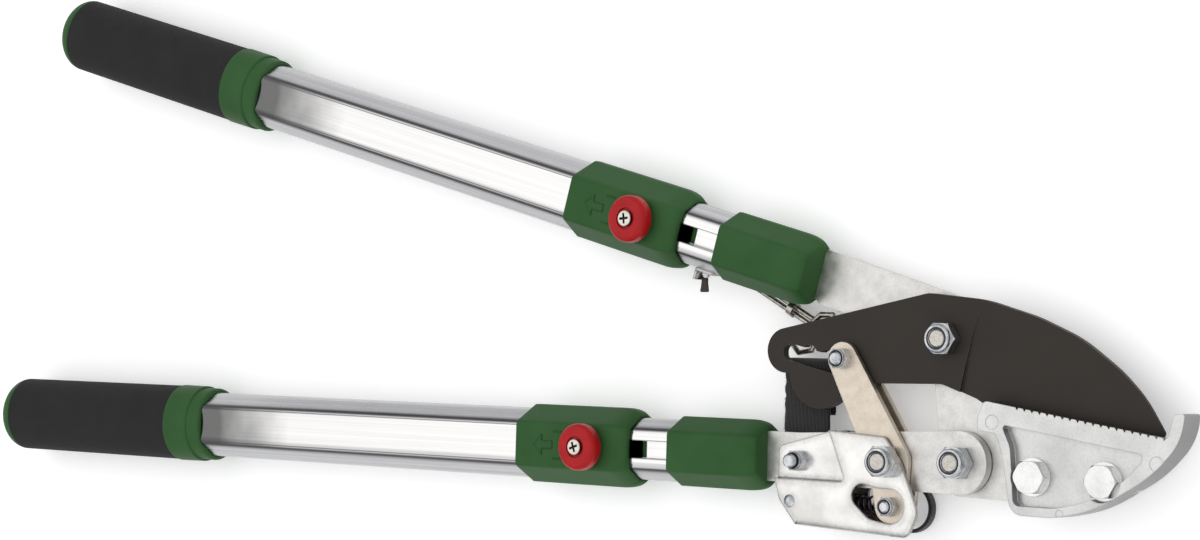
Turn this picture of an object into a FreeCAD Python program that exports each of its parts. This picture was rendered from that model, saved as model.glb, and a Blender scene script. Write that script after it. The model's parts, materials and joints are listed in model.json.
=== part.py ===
import FreeCAD, Part
import math
import os

# Ratchet anvil loppers with telescopic handles, lying flat. Units are millimetres.
# X runs along the lower handle towards the jaw, Y across the tool, Z up through the pivots.
# The linkage is drawn about the lower handle's axis, with Z = 0 in the middle of the blade.
# Everything is moved at the end, so that the origin is under the middle of the whole tool.

V = FreeCAD.Vector
UP = V(0, 0, 1)
ALONG = V(1, 0, 0)

# Driving dimensions
RUN = 0.1                    # radial clearance of a pivot
FIT = 0.05                   # radial clearance of a nut, rivet or screw on its own stack
GAP = 0.3                    # clearance between faces that move past each other

# Pivots of the linkage, seen from above
JAW = (188.9, 53.6)          # the blade turns here on the upper arm
ARM = (196.8, 1.6)           # the lower arm turns here on the anvil plate
LINK = (164.0, 0.6)          # the link pair turns here on the lower arm
PIN = (139.2, 44.0)          # the link pin sits in the blade's last notch
TAIL = (165.3, -18.5)        # tail bolt of the link pair
COVER_BOLT = (117.0, -1.2)
SPRING_RIVET = (115.0, -18.9)
ANVIL_BOLTS = [(232.9, -2.5), (265.5, -2.6)]

# Levels of the stacked plates
BLADE_Z = (-2.0, 2.0)
LOWER_ARM_Z = (-2.0, 2.5)
UPPER_ARM_Z = (-6.6, -2.6)
FRONT_LINK_Z = (2.9, 5.4)
REAR_LINK_Z = (-4.9, -2.4)
COVER_SHEET = 1.3
COVER_HIGH = 6.0             # inner face of a cover's raised part, above or below Z = 0
FRONT_COVER_LOW = 2.6        # inner face of the front cover's part that lies on the arm
REAR_COVER_LOW = 2.1
ANVIL_Z = (-7.4, 7.0)
REST = -16.3                 # the flat the tool lies on: backs of the housings, ends of two bolts
POCKET_FLOOR = 3.0

# Fasteners: thread diameter, width across flats, head height, nut height
M8 = (8.0, 13.0, 5.3, 8.0)
M6 = (6.0, 8.6, 3.6, 5.2)
M5 = (5.0, 8.0, 3.4, 4.8)

# Handle, in its own axes: S along the axis from the lock knob's side, towards the jaw
LOWER_HANDLE = (3.0, 0.0, 0.0)            # x, y and turn in degrees
UPPER_HANDLE = (28.56, 105.78, -14.93)
# Tubes: width, depth, width of the flat front, width of the flat side, corner radius, wall
INNER_TUBE = (28.4, 22.4, 17.0, 5.2, 5.0, 1.5)
OUTER_TUBE = (33.0, 26.4, 18.4, 7.0, 5.5, 1.4)
CHANNEL = (8.0, 4.0, 2.8)                 # grooves of the inner tube: width, depth in front and behind
FERRULE_S = (48.3, 96.5)
FERRULE = (31.6, 27.8, 17.7, 3.6)         # width, depth, width of the front facet and of the sides
HOUSING_S = (-38.4, 26.2)
HOUSING = (36.7, 32.6, 20.5, 4.6)
TUBE_SEAT = -6.0                          # outer tube ends here inside the housing
COLLAR_S = (-281.0, -254.6)
CAP_S = -407.0
CAP_DEPTH = 14.0
GRIP = (39.0, 32.6)                       # width and depth
INNER_TUBE_S = (-345.0, 90.0)
CORE_START = 29.5                         # the ferrule's core ends here inside the tube
WINDOW_S = (17.0, 33.0)
TANG_HALF = {"lower": 11.0, "upper": 9.0}     # half the width of an arm's tang inside the inner tube
TANG_WIDE = 91.5                              # past the tube's end a tang may be wider
KNOB_S = 4.8
KNOB = (21.5, 18.6, 24.9)                 # diameter, bottom, top
LOCK_STEP = 65.0
LOCK_COUNT = 5


def prism(face, low, high):
    """A flat face in the XY plane as a solid between two levels."""
    solid = face.extrude(V(0, 0, high - low))
    solid.translate(V(0, 0, low))
    return solid


def rounded_face(corners):
    """A face whose corners are (x, y, radius), each turned by an arc tangent to both its sides."""
    points = [V(x, y, 0) for x, y, r in corners]
    ends = []
    edges = []
    for i, (x, y, r) in enumerate(corners):
        here = points[i]
        back = (points[i - 1] - here).normalize()
        ahead = (points[(i + 1) % len(points)] - here).normalize()
        half = back.getAngle(ahead) / 2
        if r <= 0:
            ends.append((here, here))
            continue
        reach = r / math.tan(half)
        first = here + back * reach
        last = here + ahead * reach
        middle = here + (back + ahead).normalize() * (r / math.sin(half) - r)
        ends.append((first, last))
        edges.append(Part.Arc(first, middle, last).toShape())
    for i, (first, last) in enumerate(ends):
        following = ends[(i + 1) % len(ends)][0]
        if last.distanceToPoint(following) > 1e-6:
            edges.append(Part.makeLine(last, following))
    return Part.Face(Part.Wire(Part.__sortEdges__(edges)))


def disc(centre, radius, low, high):
    return Part.makeCylinder(radius, high - low, V(centre[0], centre[1], low), UP)


def bar_between(a, b, ra, rb, low, high):
    """The rounded bar that joins a circle at a to a circle at b with tangent sides."""
    dx = b[0] - a[0]
    dy = b[1] - a[1]
    length = math.hypot(dx, dy)
    lean = math.asin((ra - rb) / length)
    heading = math.atan2(dy, dx)
    sides = []
    for centre, radius in ((a, ra), (b, rb)):
        for side in (1, -1):
            angle = heading + side * (math.pi / 2 - lean)
            sides.append(V(centre[0] + radius * math.cos(angle), centre[1] + radius * math.sin(angle), 0))
    loop = Part.makePolygon([sides[0], sides[2], sides[3], sides[1], sides[0]])
    middle = prism(Part.Face(loop), low, high)
    return middle.fuse([disc(a, ra, low, high), disc(b, rb, low, high)]).removeSplitter()


def hexagon(centre, flats, low, high):
    """A hexagonal prism whose corners are bevelled at both ends."""
    radius = flats / math.sqrt(3)
    points = [V(centre[0] + radius * math.cos(math.radians(60 * i)),
                centre[1] + radius * math.sin(math.radians(60 * i)), 0) for i in range(7)]
    block = prism(Part.Face(Part.makePolygon(points)), low, high)
    slope = radius * 0.2
    barrel = disc(centre, radius * 1.02, low, high)
    cone_up = Part.makeCone(radius * 1.25, radius * 0.9, slope * 1.75, V(*centre, high - slope * 1.75), UP)
    lower = disc(centre, radius * 1.25, low, high - slope * 1.75)
    return block.common(barrel).common(lower.fuse(cone_up))


def lock_nut(centre, size, low):
    """A nut with a round collar for its nylon ring, on a face at the level low."""
    thread, flats, head, height = size
    top = low + height
    body = hexagon(centre, flats, low, low + height * 0.68)
    collar = disc(centre, flats * 0.47, low, top)
    rim = [edge for edge in collar.Edges if abs(edge.CenterOfMass.z - top) < 1e-6 and edge.Closed]
    collar = collar.makeFillet(height * 0.12, rim)
    nut = body.fuse(collar)
    nut = nut.cut(disc(centre, thread / 2 + FIT, low - 1, top + 1))
    recess = Part.makeCone(thread / 2 + FIT, thread / 2 + 0.9, 0.8, V(*centre, top - 0.8), UP)
    return nut.cut(recess)


def bolt(centre, size, head_top, end, flange=0.0):
    """A hexagon bolt whose head sits on head_top and whose thread ends, domed, at the level end."""
    thread, flats, head, height = size
    side = 1 if head_top < end else -1
    low = min(head_top, end)
    shank = disc(centre, thread / 2, low, max(head_top, end))
    tip = [edge for edge in shank.Edges if edge.Closed and abs(edge.CenterOfMass.z - end) < 1e-6]
    shank = shank.makeChamfer(0.7, tip)
    start = head_top - side * head
    cap = hexagon(centre, flats, 0, head)
    if side > 0:
        cap = cap.mirror(V(0, 0, head / 2), UP)
    cap.translate(V(0, 0, min(start, head_top)))
    solid = shank.fuse(cap)
    if flange > 0:
        edge = head_top - side * 1.2
        solid = solid.fuse(disc(centre, flange, min(edge, head_top), max(edge, head_top)))
    return solid


def octagon_wire(size, s, drop, radius):
    """An octagon with rounded corners across X at s, smaller by drop on every side."""
    width, depth, facet, side = size
    y = width / 2 - drop
    z = depth / 2 - drop
    f = facet / 2 - 0.4 * drop
    h = side / 2
    corners = [(z, f), (h, y), (-h, y), (-z, f), (-z, -f), (-h, -y), (h, -y), (z, -f)]
    wire = rounded_face([(a, b, radius) for a, b in corners]).OuterWire
    wire.rotate(V(0, 0, 0), V(0, 1, 0), 90)
    wire.translate(V(s, 0, 0))
    return wire


def moulded_block(size, span, corner, end_drop):
    """A faceted moulding along X, with a small bevel at its near end and a long rounding at the far one."""
    start, end = span
    bend = 10.0
    full = octagon_wire(size, start + 1.0, 0, corner)
    bevel = Part.makeLoft([octagon_wire(size, start, 1.0, corner), full], True, True)
    straight = Part.Face(full).extrude(V(end - bend - start - 1.0, 0, 0))
    far = []
    for i in range(8):
        angle = math.radians(90 * i / 7)
        far.append(octagon_wire(size, end - bend + bend * math.sin(angle), end_drop * (1 - math.cos(angle)),
                                corner))
    return straight.fuse([bevel, Part.makeLoft(far, True, True)])


def tube_solid(section, shrink, span):
    """A tube's outer shape, or one a little smaller all round by shrink, as a solid along X."""
    width, depth, front, side, radius, wall = section
    slant = math.atan2(depth - side, width - front)
    y = width / 2 - shrink
    z = depth / 2 - shrink
    f = front / 2 - shrink * math.tan(slant / 2)
    h = side / 2 - shrink * math.tan(math.pi / 4 - slant / 2)
    quarter = [(z, f), (h, y)]
    corners = quarter + [(-a, b) for a, b in reversed(quarter)]
    corners += [(-a, -b) for a, b in quarter] + [(a, -b) for a, b in reversed(quarter)]
    face = rounded_face([(a, b, radius - shrink) for a, b in corners])
    face.rotate(V(0, 0, 0), V(0, 1, 0), 90)
    face.translate(V(span[0], 0, 0))
    return face.extrude(V(span[1] - span[0], 0, 0))


def ellipse_section(x, width, depth):
    """An ellipse across X, wider than deep, as a wire for a loft."""
    curve = Part.Ellipse(V(x, width / 2, 0), V(x, 0, depth / 2), V(x, 0, 0))
    return Part.Wire([curve.toShape()])


def coil(radius, wire, length, turns, start, direction):
    """A helical spring made of round wire."""
    pitch = length / turns
    helix = Part.makeHelix(pitch, length, radius)
    ring = Part.Wire([Part.makeCircle(wire / 2, V(radius, 0, 0), V(0, 2 * math.pi * radius, pitch))])
    spring = helix.makePipeShell([ring], True, True)
    spring.rotate(V(0, 0, 0), UP.cross(direction) if direction != UP else ALONG,
                  math.degrees(UP.getAngle(direction)))
    spring.translate(start)
    return spring


# ---------------------------------------------------------------- jaw and arms

def handle_point(handle, s, n):
    """A point s along a handle's axis and n to its left, seen from above."""
    x, y, turn = handle
    c = math.cos(math.radians(turn))
    k = math.sin(math.radians(turn))
    return x + c * s - k * n, y + k * s + c * n


def wall_top(x):
    """Height of the anvil's toothed wall: the crown of the teeth."""
    return 26.1 - 0.1465 * (x - 225.0)


def cutting_edge(x):
    return wall_top(x) - 3.0


def upper_arm_plate():
    """One plate: tang in the upper ferrule, jaw pivot, neck, lower pivot and the anvil's seat."""
    wide = 11.4
    neck = 13.1
    inside = TANG_HALF["upper"]
    tang = [handle_point(UPPER_HANDLE, s, n) for s, n in
            ((97.6, -wide), (TANG_WIDE, -wide), (TANG_WIDE, -inside), (54, -inside),
             (54, inside), (TANG_WIDE, inside), (TANG_WIDE, wide))]
    low_neck = handle_point(UPPER_HANDLE, 99.2, -neck)
    low_end = handle_point(UPPER_HANDLE, 140, -neck)
    top_end = handle_point(UPPER_HANDLE, 182, wide - 2.6)
    seat = 5.0
    face = rounded_face([(*point, 0) for point in tang] + [
        (*top_end, 16), (211.5, 45, 20), (212.5, cutting_edge(212.5) - seat, 3),
        (284, cutting_edge(284) - seat, 5), (278, -6, 8), (252, -14.2, 30), (215, -13.2, 30),
        (183, -12.6, 13), (183.4, 17, 40), (181.2, 36, 20), (171, 58.5, 24), (*low_end, 30),
        (*low_neck, 0.5)])
    plate = prism(face, *UPPER_ARM_Z)
    for centre in [JAW, ARM] + ANVIL_BOLTS:
        plate = plate.cut(disc(centre, M8[0] / 2 + FIT, *spread(UPPER_ARM_Z)))
    return plate


def spread(levels, by=1.0):
    return levels[0] - by, levels[1] + by


def lower_arm_plate():
    half = TANG_HALF["lower"]
    start = handle_point(LOWER_HANDLE, 54, 0)[0]
    boss = 13.4
    tang = Part.makeBox(60, 2 * half, LOWER_ARM_Z[1] - LOWER_ARM_Z[0], V(start, -half, LOWER_ARM_Z[0]))
    bar = bar_between((start + 60, 0), ARM, half, boss, *LOWER_ARM_Z)
    plate = tang.fuse(bar).removeSplitter()
    plate = plate.cut(disc(ARM, M8[0] / 2 + RUN, *spread(LOWER_ARM_Z)))
    plate = plate.cut(disc(LINK, M8[0] / 2 + FIT, *spread(LOWER_ARM_Z)))
    return plate.cut(disc(COVER_BOLT, M6[0] / 2 + FIT, *spread(LOWER_ARM_Z)))


NOTCH_RADIUS = 4.0
NOTCH_LIFT = 4.2
OTHER_NOTCH_LIFT = 1.7
SLOT_TURN = math.atan2(-6.2, 28.2)       # the slot falls a little towards the jaw


def slot_point(along, above):
    """A point of the slot: along from the front end of its run towards the tail, and above the run."""
    c = math.cos(SLOT_TURN)
    k = math.sin(SLOT_TURN)
    rise = above - NOTCH_LIFT
    return PIN[0] - c * along - k * rise, PIN[1] - k * along + c * rise


def ratchet_slot():
    """The run that the link pin slides along, with a notch above it for each ratchet step."""
    levels = spread(BLADE_Z)
    slot = bar_between(slot_point(0, 0), slot_point(28.9, 0), NOTCH_RADIUS - 0.2, NOTCH_RADIUS - 0.2, *levels)
    for along, lift in ((0, NOTCH_LIFT), (9.6, OTHER_NOTCH_LIFT), (19.2, OTHER_NOTCH_LIFT)):
        notch = bar_between(slot_point(along, lift), slot_point(along, 0),
                            NOTCH_RADIUS, NOTCH_RADIUS - 0.2, *levels)
        slot = slot.fuse(notch)
    return slot


def blade_face():
    """The blade seen from above: straight back, round tail, lobe under the slot, belly and tip."""
    tail = (107.6, 46.9)
    tail_radius = 9.9
    lobe = (126.0, 38.0)
    lobe_radius = 16.2
    heel = (209.5, cutting_edge(209.5))
    tip = (287.6, cutting_edge(287.6))
    body = rounded_face([
        (tail[0] - 1.9, tail[1] + 9.7, 0), (180.0, 72.9, 10), (207.5, 70.4, 60), (232, 63.5, 60),
        (252.5, 55.0, 70), (270.5, 42.2, 60), (281.5, 31.6, 60), (290.6, 17.6, 1.6), (*tip, 1.2),
        (*heel, 0.6), (203.5, 28.8, 4), (195.6, 31.6, 6), (187.5, 34.4, 6), (118, 33.0, 0), (100.5, 40.5, 0)])
    outline = prism(body, *BLADE_Z)
    outline = outline.fuse([disc(tail, tail_radius, *BLADE_Z), disc(lobe, lobe_radius, *BLADE_Z)])
    return outline.removeSplitter()


def grind_wedge():
    """What the grinding takes off the front: a wedge past the grind line, deepest at the cutting edge."""
    line = [(207.2, 72.0), (201.6, 55.0), (194.9, 26.0)]
    region = rounded_face([(*line[0], 0), (*line[1], 60), (*line[2], 0), (300, 5, 0), (300, 90, 0)])
    column = prism(region, -1, 6)
    base = (209.5, cutting_edge(209.5))
    edge_turn = math.degrees(math.atan2(cutting_edge(287.6) - base[1], 287.6 - base[0]))
    rise = math.degrees(math.atan2(BLADE_Z[1] - 0.25, 43.0))
    slab = Part.makeBox(160, 80, 20, V(-40, -8, 0))
    slab.rotate(V(0, 0, 0), ALONG, rise)
    slab.rotate(V(0, 0, 0), UP, edge_turn)
    slab.translate(V(base[0], base[1], 0.25))
    return slab.common(column)


def blade():
    solid = blade_face().cut(ratchet_slot())
    solid = solid.cut(disc(JAW, M8[0] / 2 + RUN, *spread(BLADE_Z)))
    wedge = grind_wedge()
    solid = solid.cut(wedge)
    return solid.cut(wedge.mirror(V(0, 0, 0), UP))


def anvil_face():
    ear = (208.0, 20.9)
    return rounded_face([
        (*ear, 3.0), (210.6, 28.2, 2.5), (294.4, wall_top(294.4), 1.5), (297.0, 26.0, 1.8),
        (301.6, 26.1, 1.2), (300.4, 15.0, 25), (287.5, 0.4, 60), (262, -14.8, 60),
        (244, -18.6, 30), (224.4, -18.4, 7), (220.6, 3.5, 12), (217.0, 14.8, 3), (208.0, 15.6, 1.5)])


def anvil_pocket():
    face = rounded_face([
        (219.2, 18.6, 1.2), (285.6, 8.8, 2.0), (275, -2.6, 30), (260, -10.8, 40),
        (246, -14.6, 30), (225.6, -14.6, 3), (224.6, -1.0, 25), (223.6, 9.5, 12)])
    return prism(face, POCKET_FLOOR, ANVIL_Z[1] + 1)


def anvil_teeth():
    """V notches along the crown of the front wall."""
    pitch = 3.5
    notches = []
    for i in range(20):
        x = 226.5 + pitch * i
        y = wall_top(x)
        points = [V(x - 1.1, y + 0.6, 0), V(x, y - 1.1, 0), V(x + 1.1, y + 0.6, 0), V(x - 1.1, y + 0.6, 0)]
        notches.append(prism(Part.Face(Part.makePolygon(points)), 2, ANVIL_Z[1] + 1))
    return notches


def anvil(arm_plate):
    """Cast anvil: toothed wall, groove for the blade, hook, pocket and a seat for the arm plate."""
    solid = prism(anvil_face(), *ANVIL_Z)
    solid = solid.cut(anvil_pocket())
    solid = solid.cut(anvil_teeth())
    depth = 0.5
    groove = rounded_face([
        (205, cutting_edge(205) - depth - 1.5, 0), (205, 45, 0), (294.6, 45, 0),
        (294.6, cutting_edge(294.6) - depth, 1.0), (212, cutting_edge(212) - depth, 0)])
    solid = solid.cut(prism(groove, BLADE_Z[0] - 0.6, BLADE_Z[1] + 0.8))
    rear = rounded_face([
        (205, wall_top(205) - 6, 0), (205, 45, 0), (294.6, 45, 0), (294.6, wall_top(294.6) - 1.5, 0),
        (216, wall_top(216) - 1.5, 0), (213, wall_top(213) - 6, 0)])
    solid = solid.cut(prism(rear, ANVIL_Z[0] - 1, BLADE_Z[0]))
    solid = solid.cut(plate_shadow(arm_plate))
    for centre in ANVIL_BOLTS:
        solid = solid.cut(disc(centre, M8[0] / 2 + FIT, *spread(ANVIL_Z)))
        solid = solid.cut(disc(centre, 8.6, POCKET_FLOOR, ANVIL_Z[1] + 1))
        solid = solid.cut(disc(centre, 8.6, ANVIL_Z[0] - 1, UPPER_ARM_Z[0]))
    for centre, radius in (((214.8, 19.4), 3.0), ((289.8, 5.6), 3.0), ((247, -16.7), 1.6)):
        solid = solid.cut(disc(centre, radius, ANVIL_Z[1] - 0.25, ANVIL_Z[1] + 1))
    return max(solid.Solids, key=lambda piece: piece.Volume)


def plate_shadow(plate):
    """The room a plate takes up, from its own level down past the back of the anvil."""
    base = min(plate.Faces, key=lambda face: face.CenterOfMass.z)
    outline = Part.Face(base.OuterWire)
    grown = outline.makeOffset2D(FIT)
    low = base.CenterOfMass.z
    grown.translate(V(0, 0, -low))
    return prism(grown, ANVIL_Z[0] - 1, UPPER_ARM_Z[1] + FIT)


# ---------------------------------------------------------------- link pair, covers, spring

def link_plate(levels):
    arm = bar_between(PIN, LINK, 7.2, 10.0, *levels)
    tail = bar_between(LINK, TAIL, 10.0, 7.4, *levels)
    plate = arm.fuse(tail).removeSplitter()
    plate = plate.cut(disc(LINK, M8[0] / 2 + RUN, *spread(levels)))
    plate = plate.cut(disc(PIN, M6[0] / 2 + FIT, *spread(levels)))
    return plate.cut(disc(TAIL, M5[0] / 2 + FIT, *spread(levels)))


COVER_CORNERS = [
    (106.6, -9.0, 1.0), (106.6, 5.0, 3.0), (134.6, 12.8, 1.5), (163.0, 11.2, 3.0), (171.2, 1.0, 8.0),
    (180.6, -20.5, 8.0), (175.6, -31.6, 6.0), (118.6, -29.2, 3.0), (109.6, -18.5, 6.0)]


def cover_window(levels):
    """Arc slot about the link pivot: the tail bolt swings in it."""
    radius = math.hypot(TAIL[0] - LINK[0], TAIL[1] - LINK[1])
    start = math.atan2(TAIL[1] - LINK[1], TAIL[0] - LINK[0])
    sweep = math.radians(-41.0)
    half = 7.4
    path = []
    for angle in (start + 0.04, start + sweep / 2, start + sweep):
        path.append((LINK[0] + radius * math.cos(angle), LINK[1] + radius * math.sin(angle)))
    window = bar_between(path[0], path[1], half, half - 0.6, *levels)
    window = window.fuse(bar_between(path[1], path[2], half - 0.6, half - 2.2, *levels))
    return window.removeSplitter()


def edge_rounding(a, b, level, radius):
    """What rounding takes off the upper edge that runs from a to b, with the solid on its left."""
    length = math.hypot(b[0] - a[0], b[1] - a[1])
    bar = Part.makeBox(length, radius + 1, radius + 1, V(0, -1, -radius))
    bar = bar.cut(Part.makeCylinder(radius, length, V(0, radius, -radius), ALONG))
    bar.rotate(V(0, 0, 0), UP, math.degrees(math.atan2(b[1] - a[1], b[0] - a[0])))
    bar.translate(V(a[0], a[1], level))
    return bar


def cover(low):
    """The pressed cover in its front position: a raised field, a step, a low field on the arm."""
    outline = rounded_face(COVER_CORNERS)
    low_field = rounded_face([(100, -9.1, 0), (100, 20, 0), (131.6, 20, 0), (143.6, -9.2, 2.0)])
    low_region = prism(low_field, -20, 20)
    wall = low_field.makeOffset2D(COVER_SHEET)
    raised = prism(outline, COVER_HIGH, COVER_HIGH + COVER_SHEET).cut(low_region)
    floor = prism(outline, low, low + COVER_SHEET).common(low_region)
    step = prism(wall, low, COVER_HIGH + COVER_SHEET).common(prism(outline, -20, 20)).cut(low_region)
    lip = prism(outline, 0.5, COVER_HIGH + COVER_SHEET)
    inner = outline.makeOffset2D(-COVER_SHEET)
    lip = lip.cut(prism(inner, -20, 20))
    lip = lip.common(Part.makeBox(50, 40, 40, V(117.0, -38.0, -20)))
    solid = raised.fuse([floor, step, lip])
    solid = solid.cut(edge_rounding(COVER_CORNERS[7], COVER_CORNERS[6], COVER_HIGH + COVER_SHEET, 2.2))
    high = (COVER_HIGH - 1, COVER_HIGH + COVER_SHEET + 1)
    solid = solid.cut(cover_window(high))
    solid = solid.cut(disc(LINK, M8[0] / 2 + FIT, *high))
    solid = solid.cut(disc(SPRING_RIVET, 2.0 + FIT, *high))
    solid = solid.cut(disc(COVER_BOLT, M6[0] / 2 + FIT, low - 1, low + COVER_SHEET + 1))
    return solid.removeSplitter()


def rear_cover():
    """The same pressing turned over, its lower corner cropped beside the strap's loop."""
    crop = Part.makeBox(20, 24, 20, V(166.5, -36, -10))
    return cover(REAR_COVER_LOW).mirror(V(0, 0, 0), UP).cut(crop)


def spring_rivet():
    """Domed rivet through both covers, with the shoulder that the spring pushes on."""
    outer = COVER_HIGH + COVER_SHEET
    rivet = disc(SPRING_RIVET, 2.0, -outer, outer)
    rivet = rivet.fuse(disc(SPRING_RIVET, 3.6, -COVER_HIGH + FIT, COVER_HIGH - FIT))
    dome = Part.makeSphere(4.2, V(*SPRING_RIVET, outer - 3.1))
    dome = dome.common(disc(SPRING_RIVET, 5, outer, outer + 3))
    return rivet.fuse([dome, dome.mirror(V(0, 0, 0), UP)])


SPRING_SPAN = (119.2, 157.2)


def pawl_spring():
    span = SPRING_SPAN[1] - SPRING_SPAN[0]
    return coil(3.6, 1.0, span, 16, V(SPRING_SPAN[0], SPRING_RIVET[1] + 0.3, 0), ALONG)


def link_pin():
    """Shouldered pin: head behind the rear link, thread for the nut in front."""
    pin = bolt(PIN, M6, REAR_LINK_Z[0] - FIT, FRONT_LINK_Z[1] + M6[3] + 0.9)
    shoulder = disc(PIN, 3.1, REAR_LINK_Z[1] + FIT, FRONT_LINK_Z[0] - FIT)
    return pin.fuse(shoulder)


# ---------------------------------------------------------------- strap and its catch

STRAP = (24.4, 2.0)                     # width, thickness
STRAP_X = 116.4                         # middle of the strap
STRAP_Z = REAR_COVER_LOW + COVER_SHEET + 0.15
FOLD_Y = (38.6, 41.0)                   # the strap's end is folded round the ring's bar
RING_Z = -STRAP_Z - 1.7


def strap():
    """Webbing behind the arms, from the cover bolt up to its fold round the wire ring."""
    width, thick = STRAP
    left = STRAP_X - width / 2
    band = Part.makeBox(width, FOLD_Y[0] + 8.6, thick, V(left, -8.6, -STRAP_Z - thick))
    band = band.cut(disc(COVER_BOLT, M6[0] / 2 + FIT, -20, 0))
    radius = 2.8
    fold = Part.makeBox(width, FOLD_Y[1] - FOLD_Y[0], 2 * radius, V(left, FOLD_Y[0], RING_Z - radius))
    for y in FOLD_Y:
        fold = fold.fuse(Part.makeCylinder(radius, width, V(left, y, RING_Z), ALONG))
    hole = Part.makeCylinder(1.6, width + 2, V(left - 1, FOLD_Y[0], RING_Z), ALONG)
    return band.fuse(fold).removeSplitter().cut(hole)


def strap_ring():
    """Wire ring through the fold of the strap, drawn up to the closing rod."""
    half = STRAP[0] / 2 + 1.6
    corners = [(-half, FOLD_Y[0]), (half, FOLD_Y[0]), (half, 47.5), (10.4, 63.0), (4.4, 63.0), (-half, 48.5)]
    return rod_path([V(STRAP_X + x, y, RING_Z) for x, y in corners], 2.6, closed=True)


def rod_path(points, diameter, closed=False):
    """Round wire along straight runs with a ball at each corner."""
    solid = None
    count = len(points)
    runs = count if closed else count - 1
    for i in range(runs):
        a = points[i]
        b = points[(i + 1) % count]
        run = Part.makeCylinder(diameter / 2, a.distanceToPoint(b), a, b - a)
        knee = Part.makeSphere(diameter / 2, a)
        piece = run.fuse(knee)
        solid = piece if solid is None else solid.fuse(piece)
    if not closed:
        solid = solid.fuse(Part.makeSphere(diameter / 2, points[-1]))
    return solid


CATCH_S = 37.5


def catch_eye():
    """Where the closing rod hangs under the upper handle's inner tube."""
    x, y = handle_point(UPPER_HANDLE, CATCH_S - 1.5, -10.0)
    return V(x, y, -13.2)


def closing_rod():
    """Wire pair from the bracket on the upper handle down to its hook below the ring."""
    start = V(COVER_BOLT[0] + 1.0, 57.2, -STRAP_Z - 6.2)
    end = catch_eye()
    heading = end - start
    wires = None
    for shift in (-1.45, 1.45):
        across = V(0.4, 0.92, 0) * shift
        wire = rod_path([start + across, end + across], 2.4)
        wires = wire if wires is None else wires.fuse(wire)
    collar = Part.makeCylinder(3.4, 3.2, start + heading * 0.25, heading)
    hook = rod_path([start, start + V(-4.6, -10.0, 0), start + V(-11.6, -11.2, 0), start + V(-15.2, -7.2, 0)],
                    2.4)
    return wires.fuse([collar, hook])


LOOP_CENTRE = (166.4, -19.4)
LOOP_RADIUS = 11.0


def strap_loop():
    """Free end of the webbing, curled back behind the rear cover as a flat loop."""
    thick = STRAP[1]
    outer = bar_between(LOOP_CENTRE, (134, LOOP_CENTRE[1]), LOOP_RADIUS, LOOP_RADIUS, -13.6, -8.9)
    inner = bar_between(LOOP_CENTRE, (134, LOOP_CENTRE[1]), LOOP_RADIUS - thick, LOOP_RADIUS - thick, -14, -8)
    return outer.cut(inner)


# ---------------------------------------------------------------- one handle, in its own axes

def grooves(start, length, wall):
    """The grooves along the inner tube's front and back as solids, with a wall added round them."""
    width, front_depth, rear_depth = CHANNEL
    face = INNER_TUBE[1] / 2
    levels = ((face - front_depth - wall, face + 1), (-face - 1, rear_depth - face + wall))
    return [Part.makeBox(length, width + 2 * wall, high - low, V(start, -width / 2 - wall, low))
            for low, high in levels]


def inner_tube():
    tube = tube_solid(INNER_TUBE, 0, INNER_TUBE_S)
    bore = tube_solid(INNER_TUBE, INNER_TUBE[5], spread(INNER_TUBE_S))
    start = INNER_TUBE_S[0] - 2
    length = INNER_TUBE_S[1] - INNER_TUBE_S[0] + 4
    tube = tube.cut(bore.cut(grooves(start, length, INNER_TUBE[5])))
    tube = tube.cut(grooves(start, length, 0))
    front = INNER_TUBE[1] / 2
    for i in range(LOCK_COUNT):
        tube = tube.cut(disc((KNOB_S - LOCK_STEP * i, 0), 3.4, 0, front))
    half = CHANNEL[0] / 2 - 0.3
    window = Part.makeBox(WINDOW_S[1] - WINDOW_S[0], 2 * half, front, V(WINDOW_S[0], -half, 0))
    return tube.cut(window)


def ferrule(plate_levels, tang_half):
    """Moulded end piece: shell over the inner tube, core inside it, slot for the arm's tang."""
    block = moulded_block(FERRULE, FERRULE_S, 2.2, 3.2)
    seat = (FERRULE_S[0] - 1, INNER_TUBE_S[1] + FIT)
    shell = block.cut(tube_solid(INNER_TUBE, -FIT, seat))
    core = tube_solid(INNER_TUBE, INNER_TUBE[5] + FIT, (CORE_START, INNER_TUBE_S[1] + 1))
    core = core.cut(grooves(20, 80, INNER_TUBE[5] + FIT))
    solid = shell.fuse(core)
    high = plate_levels[1] - plate_levels[0] + 2 * FIT
    for start, half in ((50.9, tang_half + FIT), (TANG_WIDE - FIT, 11.45)):
        solid = solid.cut(Part.makeBox(70, 2 * half, high, V(start, -half, plate_levels[0] - FIT)))
    return solid


def outer_tube():
    span = (CAP_S, TUBE_SEAT)
    tube = tube_solid(OUTER_TUBE, 0, span).cut(tube_solid(OUTER_TUBE, OUTER_TUBE[5], spread(span)))
    front = OUTER_TUBE[1] / 2
    for side in (1, -1):
        for level in (front - 0.35, -front - 1 + 0.35):
            tube = tube.cut(Part.makeBox(420, 0.9, 1, V(CAP_S - 1, side * 9.4 - 0.45, level)))
    return tube


def lock_housing():
    block = moulded_block(HOUSING, HOUSING_S, 2.6, 3.8)
    top = HOUSING[1] / 2
    block = block.fuse(disc((KNOB_S, 0), 8.6, 6.0, top + 1.3))
    block = block.cut(tube_solid(OUTER_TUBE, -FIT, (HOUSING_S[0] - 1, TUBE_SEAT + FIT)))
    block = block.cut(tube_solid(INNER_TUBE, -0.25, spread(HOUSING_S)))
    block = block.cut(disc((KNOB_S, 0), 3.9, 0, top - 1.0))
    return block.cut(disc((KNOB_S, 0), 2.9, 0, top + 3))


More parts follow.
